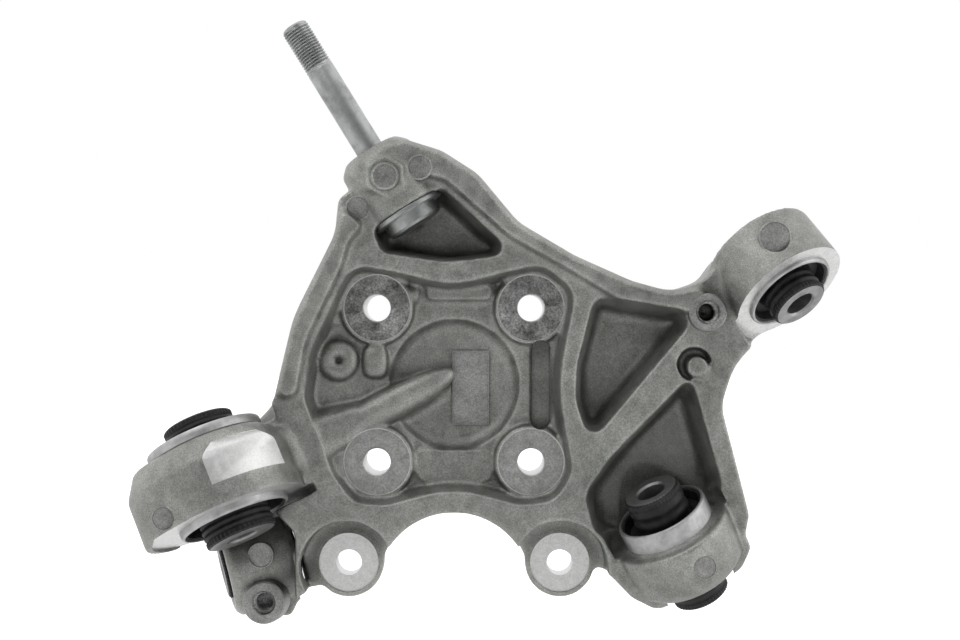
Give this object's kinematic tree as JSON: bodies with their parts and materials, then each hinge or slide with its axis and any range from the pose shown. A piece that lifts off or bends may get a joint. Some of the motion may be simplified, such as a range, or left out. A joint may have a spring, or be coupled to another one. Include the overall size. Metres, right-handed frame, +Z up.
{
  "type": "steering knuckle",
  "caption": "Cast aluminium rear steering knuckle with rubber-bushed arm eyes, a damper stud, caliper lugs and a flat hub face.",
  "frame": {"origin": "hub axis on the machined hub face", "axes": "+Y out of the hub face along the hub axis, towards the wheel; -Y inboard; +Z up as in the picture; +X to the right as seen from inboard"},
  "size_m": [0.3518, 0.1048, 0.3025],
  "materials": {
    "cast_aluminium": "as cast, machined faces bright",
    "zinc_steel": "zinc plated",
    "sleeve_steel": "satin",
    "inner_steel": "satin",
    "bushing_rubber": "matt black"
  },
  "bodies": {
    "root": {"knuckle_casting": "cast_aluminium", "damper_stud": "zinc_steel", "upper_arm_bushing_outer_sleeve": "sleeve_steel", "upper_arm_bushing_rubber": "bushing_rubber", "upper_arm_bushing_inner_sleeve": "inner_steel", "lower_arm_bushing_outer_sleeve": "sleeve_steel", "lower_arm_bushing_rubber": "bushing_rubber", "lower_arm_bushing_inner_sleeve": "inner_steel", "trailing_arm_bushing_outer_sleeve": "sleeve_steel", "trailing_arm_bushing_rubber": "bushing_rubber", "trailing_arm_bushing_inner_sleeve": "inner_steel", "toe_link_bushing_outer_sleeve": "sleeve_steel", "toe_link_bushing_rubber": "bushing_rubber", "toe_link_bushing_inner_sleeve": "inner_steel"}
  },
  "joints": []
}
